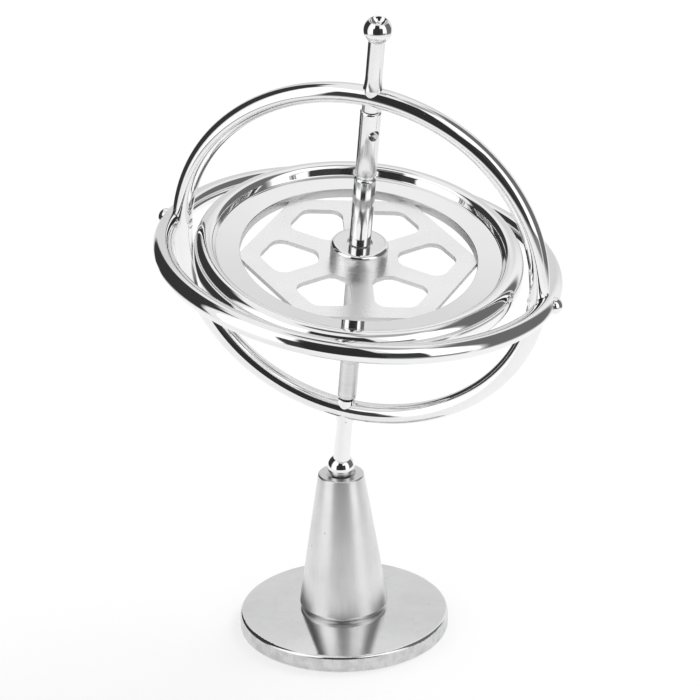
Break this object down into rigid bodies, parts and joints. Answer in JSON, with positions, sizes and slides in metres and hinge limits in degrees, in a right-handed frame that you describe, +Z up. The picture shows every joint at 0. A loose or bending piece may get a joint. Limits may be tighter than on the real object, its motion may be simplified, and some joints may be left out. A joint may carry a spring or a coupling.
{
  "type": "gyroscope on stand",
  "caption": "Toy-size demonstration gyroscope: rotor on a pivoted axle in crossed round-rod rings, leaning on a ball foot in a tapered post with a round base.",
  "frame": {"origin": "centre of the stand's flat underside", "axes": "+Z up along the post; +X and +Y lie in the table plane, and the gyroscope leans mostly towards -Y at rest"},
  "size_m": [0.0635, 0.0638, 0.1099],
  "materials": {
    "stand_plate": "satin nickel plate",
    "screw_steel": "zinc plate",
    "polished_chrome": "polished",
    "stem_plate": "bright plate",
    "rivet_steel": "bright plate, hammered",
    "bearing_brass": "turned",
    "bright_steel": "turned and polished",
    "turned_steel": "turned",
    "web_plate": "stamped and plated"
  },
  "bodies": {
    "stand": {"base_disc": "stand_plate", "post": "stand_plate", "base_screw": "screw_steel"},
    "foot": {"foot_ball": "polished_chrome"},
    "frame": {"lower_stem": "stem_plate", "lower_hoop": "polished_chrome", "upper_hoop": "polished_chrome", "equator_ring": "polished_chrome", "rivet_left": "rivet_steel", "rivet_right": "rivet_steel", "upper_stem": "stem_plate", "top_ball": "polished_chrome", "lower_bearing": "bearing_brass", "upper_bearing": "bearing_brass"},
    "rotor": {"axle": "bright_steel", "lower_sleeve": "bright_steel", "upper_sleeve": "bright_steel", "hub_lower_collar": "turned_steel", "hub_upper_collar": "turned_steel", "rotor_web": "web_plate", "rotor_rim": "polished_chrome"}
  },
  "joints": [
    {"name": "precession", "type": "hinge", "parent": "stand", "child": "foot", "pos_m": [0, 0, 0.02868], "axis": [0, 0, 1], "continuous": true},
    {"name": "lean", "type": "hinge", "parent": "foot", "child": "frame", "pos_m": [0, 0, 0.02868], "axis": [0.91, 0.4147, 0], "range_deg": [-11.8, 48.2]},
    {"name": "spin", "type": "hinge", "parent": "frame", "child": "rotor", "pos_m": [0.00343, -0.00753, 0.0683], "axis": [0.0848, -0.1861, 0.9789], "continuous": true}
  ]
}
